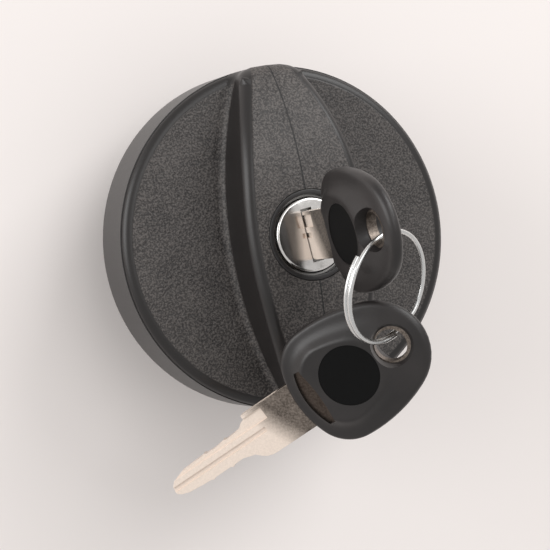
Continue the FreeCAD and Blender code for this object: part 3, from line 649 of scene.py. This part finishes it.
def key_finish(name, frame_of_key):
    """Nickel plate: a mottled dark shank, with a painted sheen that makes the blade and the groove
    floors pale and less metallic.
    """
    finish, start, place = new_finish(name)
    origin = frame_of_key.translation
    axes = [frame_of_key.col[i].to_3d() for i in range(3)]
    u, v, w = [start.node("VectorMath", {0: place, 1: axis}, out=1, operation="DOT_PRODUCT")
               - origin.dot(axis) for axis in axes]
    # Painted sheen: pale and less metallic beyond a slanting line across the blade, and on the groove
    # floors
    pale = (0.0 - (u + v * 0.45)).ramped(3.5 * mm, 9.0 * mm)
    depth = start.math("ABSOLUTE", w)
    groove_floor_sheen = (1.0 - depth.ramped(0.70 * mm, 0.85 * mm)) * (0.0 - u).ramped(1.0 * mm, 2.0 * mm)
    pale = start.math("MAXIMUM", pale, groove_floor_sheen)
    speckle = start.node("TexNoise", {"Vector": place, "Scale": 2200.0, "Detail": 4.0, "Roughness": 0.7})
    smear = start.node("TexNoise", {"Vector": place, "Scale": 260.0, "Detail": 3.0, "Roughness": 0.6})
    mottle = speckle.ramped(0.38, 0.62) * 0.7 + smear.ramped(0.35, 0.65) * 0.3
    dark = mottle.mixed((0.085, 0.071, 0.060, 1), (0.30, 0.255, 0.22, 1))
    light = speckle.ramped(0.35, 0.65).mixed((0.74, 0.635, 0.55, 1), (0.83, 0.715, 0.625, 1))
    # Painted shade: darkest between the ribs, inside the head's window
    window_shade = (1.0 - depth.ramped(1.25 * mm, 1.40 * mm)) * u.ramped(1.5 * mm, 2.0 * mm)
    window_shade = window_shade * (1.0 - u.ramped(8.0 * mm, 8.5 * mm))
    dark = (window_shade * 0.72).mixed(dark, (0.05, 0.035, 0.028, 1))
    feed(pale.mixed(dark, light), finish, "Base Color")
    feed(1.0 - pale * 0.75, finish, "Metallic")
    feed(0.30 + speckle * 0.15 + pale * 0.12, finish, "Roughness")
    feed(start.node("Bump", {"Height": speckle, "Strength": 0.3, "Distance": 0.00003}), finish, "Normal")
    return finish


for name, frame_of_key in key_frames:
    finish = key_finish(name + "_nickel", frame_of_key)
    metal = into_scene(metal_mesh(), name + "_metal", name, finish, smooth=25.0)
    tools = [round_tool(hole_place, eyelet_hole, -through, through)]
    tools += [groove_tool(side, *wide_groove) for side in (-1, 1)]
    tools += [groove_tool(side, *narrow_groove) for side in (-1, 1)]
    carved(metal, tools)
    metal.data.transform(frame_of_key)
    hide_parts(name + "_blade")


# Badge discs and the working parts below the face: the solids are kept as they are, and
# each gets the finish of its metal, plastic or rubber.
nickel, start, place = new_finish("nickel_plate", Metallic=1.0)
scratch = start.node("TexNoise", {"Vector": place, "Scale": 700.0, "Detail": 5.0, "Roughness": 0.7})
tarnish = start.node("TexNoise", {"Vector": place, "Scale": 120.0, "Detail": 4.0, "Roughness": 0.6})
feed(tarnish.ramped(0.35, 0.7).mixed((0.62, 0.58, 0.52, 1), (0.52, 0.47, 0.40, 1)), nickel, "Base Color")
feed(0.22 + scratch * 0.2, nickel, "Roughness")
feed(start.node("Bump", {"Height": scratch, "Strength": 0.3, "Distance": 0.00003}), nickel, "Normal")

bare, start, place = new_finish("bare_badge", Specular_IOR_Level=0.08)
fine = start.node("TexNoise", {"Vector": place, "Scale": 2200.0, "Detail": 2.0})
feed(fine.mixed((0.0035, 0.0035, 0.0035, 1), (0.006, 0.006, 0.006, 1)), bare, "Base Color")
feed(0.45 + fine * 0.1, bare, "Roughness")

satin, start, place = new_finish("satin_black_plastic", Specular_IOR_Level=0.45)
fine = start.node("TexNoise", {"Vector": place, "Scale": 1200.0, "Detail": 3.0})
feed(fine.mixed((0.018, 0.018, 0.018, 1), (0.028, 0.028, 0.028, 1)), satin, "Base Color")
feed(0.36 + fine * 0.12, satin, "Roughness")
feed(start.node("Bump", {"Height": fine, "Strength": 0.2, "Distance": 0.00005}), satin, "Normal")

rubber, start, place = new_finish("seal_rubber", Specular_IOR_Level=0.3)
fine = start.node("TexNoise", {"Vector": place, "Scale": 1800.0, "Detail": 3.0})
feed(fine.mixed((0.012, 0.012, 0.012, 1), (0.020, 0.020, 0.020, 1)), rubber, "Base Color")
feed(0.62 + fine * 0.2, rubber, "Roughness")

cast, start, place = new_finish("cast_zinc", Metallic=1.0)
fine = start.node("TexNoise", {"Vector": place, "Scale": 900.0, "Detail": 4.0})
feed(fine.mixed((0.36, 0.35, 0.34, 1), (0.50, 0.49, 0.47, 1)), cast, "Base Color")
feed(0.35 + fine * 0.2, cast, "Roughness")

acetal, start, place = new_finish("pale_acetal", Specular_IOR_Level=0.5)
fine = start.node("TexNoise", {"Vector": place, "Scale": 600.0, "Detail": 3.0})
feed(fine.mixed((0.50, 0.48, 0.43, 1), (0.58, 0.56, 0.51, 1)), acetal, "Base Color")
feed(0.35 + fine * 0.15, acetal, "Roughness")

brass, start, place = new_finish("stamped_brass", Metallic=1.0)
fine = start.node("TexNoise", {"Vector": place, "Scale": 900.0, "Detail": 3.0})
feed(fine.mixed((0.55, 0.38, 0.14, 1), (0.68, 0.50, 0.22, 1)), brass, "Base Color")
feed(0.28 + fine * 0.15, brass, "Roughness")

finishes = {
    "key_1_inlays": bare, "key_2_inlays": bare,
    "bayonet_neck": satin, "base_cover": satin, "guide_plate": satin, "neck_seal": rubber,
    "vent_umbrella": rubber, "neck_screws": nickel, "housing_clip": nickel, "cam_screw": nickel,
    "lock_housing": cast, "lock_plug": cast, "lock_cam": cast, "lock_wafers": brass,
    "latch_bolt_1": acetal, "latch_bolt_2": acetal,
}
for node, finish in finishes.items():
    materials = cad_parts[node].data.materials
    materials.clear()
    materials.append(finish)


# Split ring: one nickel-plated spring wire, a full coil whose two ends lie side by side
# over nearly half a turn. The upper end is cut off blunt, and past the lower one the wire
# steps over into the coil.
wire = 0.49
mean_radius = 11.75
ring_seat = 1.7
lap_end = -35.0
lap_sweep = 150.0
step_sweep = 35.0
coil_sweep = 325.0
turned_up = math.radians(-22.8)
heading = math.radians(-82.4)
level = math.cos(turned_up)
toward = Vector((level * math.cos(heading), level * math.sin(heading), math.sin(turned_up)))
ring_side = (Vector((1, 0, 0)) - toward * toward.x).normalized()
ring_roll = math.radians(-24.0)
ring_across = ring_side * math.cos(ring_roll) + toward.cross(ring_side) * math.sin(ring_roll)
ring_centre = first_hole + toward * (ring_seat + mean_radius)
ring_frame = key_frame(ring_centre, toward * -1, ring_across)

bright, start, place = new_finish("bright_ring_wire", Metallic=1.0)
scratch = start.node("TexNoise", {"Vector": place, "Scale": 800.0, "Detail": 4.0})
feed(scratch.mixed((0.66, 0.67, 0.67, 1), (0.80, 0.80, 0.79, 1)), bright, "Base Color")
feed(0.20 + scratch * 0.14, bright, "Roughness")
bm = bmesh.new()
bmesh.ops.create_circle(bm, segments=20, radius=wire)
bmesh.ops.rotate(bm, verts=bm.verts, cent=(0, 0, 0), matrix=Matrix.Rotation(math.pi / 2, 3, "X"))
bmesh.ops.translate(bm, verts=bm.verts, vec=(mean_radius, 0, wire))
lap_turn = Matrix.Rotation(math.radians(lap_end), 3, "Z")
bmesh.ops.rotate(bm, verts=bm.verts, cent=(0, 0, 0), matrix=lap_turn)
bmesh.ops.contextual_create(bm, geom=bm.edges[:])
front = bm.faces[:] + bm.edges[:] + bm.verts[:]
for sweep, drop, steps in ((lap_sweep, 0.0, 70), (step_sweep, 2 * wire, 20), (coil_sweep, 0.0, 150)):
    made = bmesh.ops.spin(bm, geom=front, cent=(0, 0, 0), axis=(0, 0, 1), angle=-math.radians(sweep),
                          dvec=(0, 0, -drop / steps), steps=steps)
    front = made["geom_last"]
ring = into_scene(bm, "wound_split_ring", "ring", bright, smooth=50.0, weighted=False)
ring.data.transform(ring_frame)
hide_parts("split_ring")
